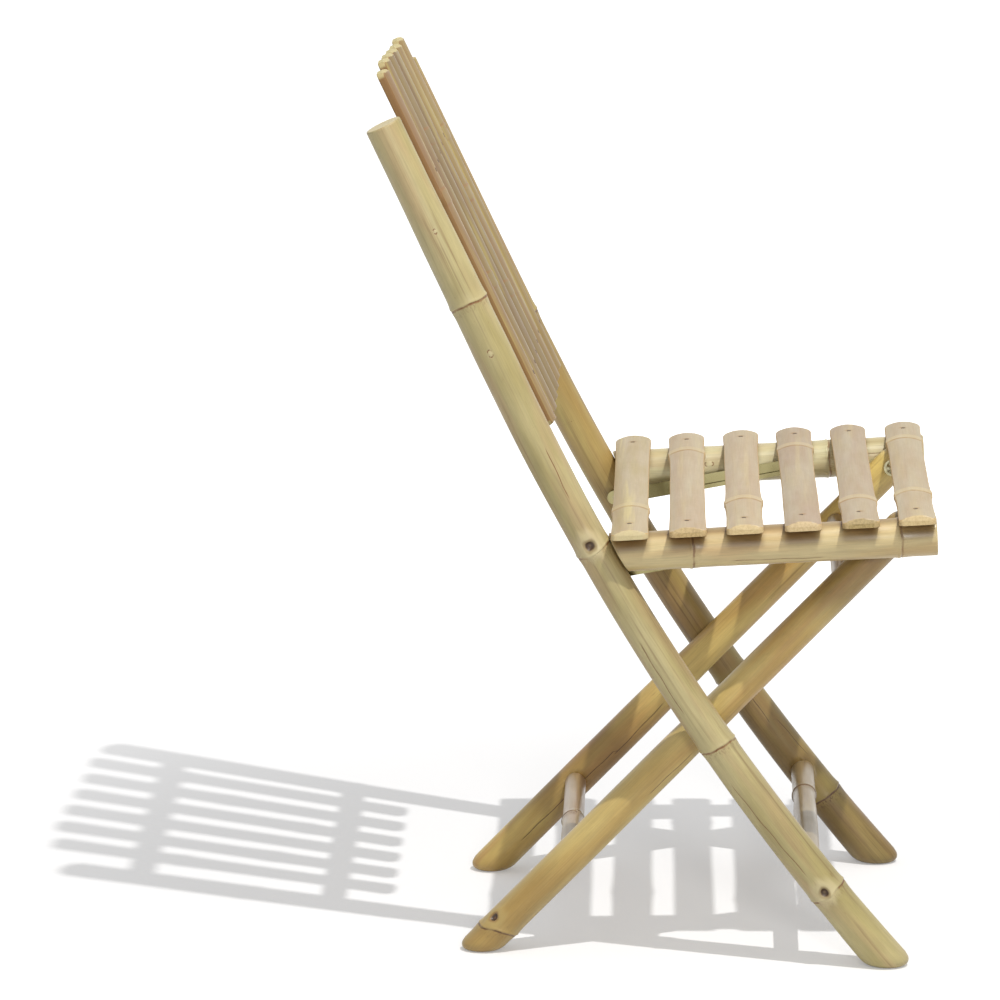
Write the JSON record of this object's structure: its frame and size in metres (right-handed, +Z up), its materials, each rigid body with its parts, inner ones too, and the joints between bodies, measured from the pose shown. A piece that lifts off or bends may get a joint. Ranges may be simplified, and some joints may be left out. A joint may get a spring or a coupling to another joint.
{
  "type": "bamboo folding chair",
  "caption": "Upright folding side chair of bamboo poles, with slatted seat and back on two crossed pairs of legs.",
  "frame": {"origin": "on the floor, under the middle of the whole chair as it stands open", "axes": "+X the way the sitter faces, +Y to the sitter's left, +Z up"},
  "size_m": [0.571, 0.45, 0.9089],
  "materials": {
    "post_bamboo": "peeled and varnished bamboo, greenish khaki with faint pinkish streaks, satin",
    "leg_bamboo": "varnished bamboo, golden ochre with dark streaks, satin",
    "rail_bamboo": "varnished bamboo, tan, glossy",
    "seat_slat_bamboo": "split and planed bamboo, pale peach with fine cross grain, satin",
    "back_slat_bamboo": "split bamboo, pinkish tan with browner sides, satin",
    "link_strip": "zinc-plated steel with a yellow-olive passivation, satin",
    "screw_steel": "plated steel, dull",
    "nail_steel": "bare steel, slightly browned"
  },
  "bodies": {
    "posts": {"post_right": "post_bamboo", "post_left": "post_bamboo", "back_rail_upper": "rail_bamboo", "back_rail_lower": "rail_bamboo", "back_slat_1": "back_slat_bamboo", "back_slat_2": "back_slat_bamboo", "back_slat_3": "back_slat_bamboo", "back_slat_4": "back_slat_bamboo", "back_slat_5": "back_slat_bamboo", "back_slat_6": "back_slat_bamboo", "back_slat_nails": "nail_steel", "foot_stretcher": "leg_bamboo", "crossing_pins": "screw_steel", "crossing_spacers": "screw_steel", "link_post_screws": "screw_steel"},
    "legs": {"leg_right": "leg_bamboo", "leg_left": "leg_bamboo", "rear_stretcher": "leg_bamboo", "upper_stretcher": "leg_bamboo"},
    "seat": {"seat_rail_right": "rail_bamboo", "seat_rail_left": "rail_bamboo", "seat_slat_1": "seat_slat_bamboo", "seat_slat_2": "seat_slat_bamboo", "seat_slat_3": "seat_slat_bamboo", "seat_slat_4": "seat_slat_bamboo", "seat_slat_5": "seat_slat_bamboo", "seat_slat_6": "seat_slat_bamboo", "seat_slat_nails": "nail_steel", "seat_pivot_screws": "screw_steel", "seat_pivot_washers": "screw_steel", "link_screws": "screw_steel"},
    "links": {"link_right": "link_strip", "link_left": "link_strip", "link_rivets": "screw_steel"}
  },
  "joints": [
    {"name": "fold", "type": "hinge", "parent": "posts", "child": "legs", "pos_m": [0.05659, 0, 0.24502], "axis": [0, -1, 0], "range_deg": [0, 65]},
    {"name": "seat_tip", "type": "hinge", "parent": "legs", "child": "seat", "pos_m": [0.24955, 0, 0.44624], "axis": [0, 1, 0], "range_deg": [0, 135.5]},
    {"name": "link_swing", "type": "hinge", "parent": "seat", "child": "links", "pos_m": [0.15073, 0, 0.44037], "axis": [0, -1, 0], "range_deg": [0, 161.5]}
  ],
  "couplings": [
    {"joint": "seat_tip", "follows": "fold", "ratio": 2.0846},
    {"joint": "link_swing", "follows": "fold", "ratio": 2.4846}
  ]
}
